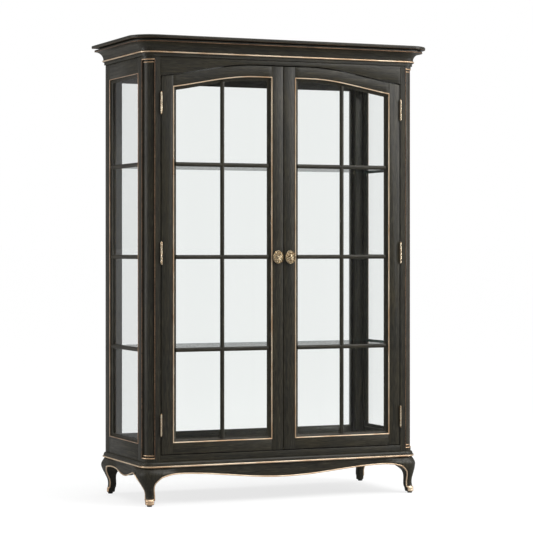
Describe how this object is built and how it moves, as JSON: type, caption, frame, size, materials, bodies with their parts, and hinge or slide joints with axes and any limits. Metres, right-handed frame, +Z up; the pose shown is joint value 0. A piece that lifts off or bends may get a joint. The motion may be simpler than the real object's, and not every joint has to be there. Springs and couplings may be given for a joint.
{
  "type": "curio cabinet",
  "caption": "Tall two-door glazed display cabinet with arched doors, glazing bars, glass shelves, a moulded cornice and cabriole legs.",
  "frame": {"origin": "on the floor, under the centre of the cabinet's bounding box", "axes": "+Z up, the doors face -Y, +X to the right of someone facing the doors"},
  "size_m": [1.414, 0.584, 2],
  "materials": {
    "ebonised_wood": "satin black-brown paint over open-grained wood, with gold-painted beads",
    "clear_glass": "clear float glass with faintly green edges",
    "aged_brass": "aged brass, darkened in the hollows",
    "gilt_trim": "gold paint rubbed back to copper along the edges"
  },
  "bodies": {
    "root": {"apron_front": "ebonised_wood", "apron_left": "ebonised_wood", "apron_right": "ebonised_wood", "apron_rear": "ebonised_wood", "back_frame": "ebonised_wood", "back_glass": "clear_glass", "base_moulding": "ebonised_wood", "bottom_board": "ebonised_wood", "top_board": "ebonised_wood", "cornice": "ebonised_wood", "top_slab": "ebonised_wood", "face_rail_bottom": "ebonised_wood", "face_rail_top": "ebonised_wood", "front_post_left": "ebonised_wood", "front_post_right": "ebonised_wood", "rear_post_left": "ebonised_wood", "rear_post_right": "ebonised_wood", "side_frame_left": "ebonised_wood", "side_frame_right": "ebonised_wood", "side_glass_left": "clear_glass", "side_glass_right": "clear_glass", "glass_shelf_lower": "clear_glass", "glass_shelf_middle": "clear_glass", "glass_shelf_upper": "clear_glass", "shelf_pin_lower_front_left": "aged_brass", "shelf_pin_lower_front_right": "aged_brass", "shelf_pin_lower_rear_left": "aged_brass", "shelf_pin_lower_rear_right": "aged_brass", "shelf_pin_middle_front_left": "aged_brass", "shelf_pin_middle_front_right": "aged_brass", "shelf_pin_middle_rear_left": "aged_brass", "shelf_pin_middle_rear_right": "aged_brass", "shelf_pin_upper_front_left": "aged_brass", "shelf_pin_upper_front_right": "aged_brass", "shelf_pin_upper_rear_left": "aged_brass", "shelf_pin_upper_rear_right": "aged_brass", "leg_front_left": "ebonised_wood", "leg_front_right": "ebonised_wood", "leg_rear_left": "ebonised_wood", "leg_rear_right": "ebonised_wood", "hinge_left_lower_post_leaf": "aged_brass", "hinge_left_middle_post_leaf": "aged_brass", "hinge_left_upper_post_leaf": "aged_brass", "hinge_right_lower_post_leaf": "aged_brass", "hinge_right_middle_post_leaf": "aged_brass", "hinge_right_upper_post_leaf": "aged_brass"},
    "left_door": {"left_door_frame": "ebonised_wood", "left_door_glass": "clear_glass", "left_door_glazing_bars": "ebonised_wood", "left_door_knob": "aged_brass", "hinge_left_lower_door_leaf": "aged_brass", "hinge_left_middle_door_leaf": "aged_brass", "hinge_left_upper_door_leaf": "aged_brass"},
    "right_door": {"right_door_frame": "ebonised_wood", "right_door_glass": "clear_glass", "right_door_glazing_bars": "ebonised_wood", "right_door_knob": "aged_brass", "hinge_right_lower_door_leaf": "aged_brass", "hinge_right_middle_door_leaf": "aged_brass", "hinge_right_upper_door_leaf": "aged_brass"}
  },
  "joints": [
    {"name": "left_door_hinge", "type": "hinge", "parent": "root", "child": "left_door", "pos_m": [-0.5713, -0.2318, 1.05], "axis": [0, 0, -1], "range_deg": [0, 160]},
    {"name": "right_door_hinge", "type": "hinge", "parent": "root", "child": "right_door", "pos_m": [0.5713, -0.2318, 1.05], "axis": [0, 0, 1], "range_deg": [0, 160]}
  ]
}
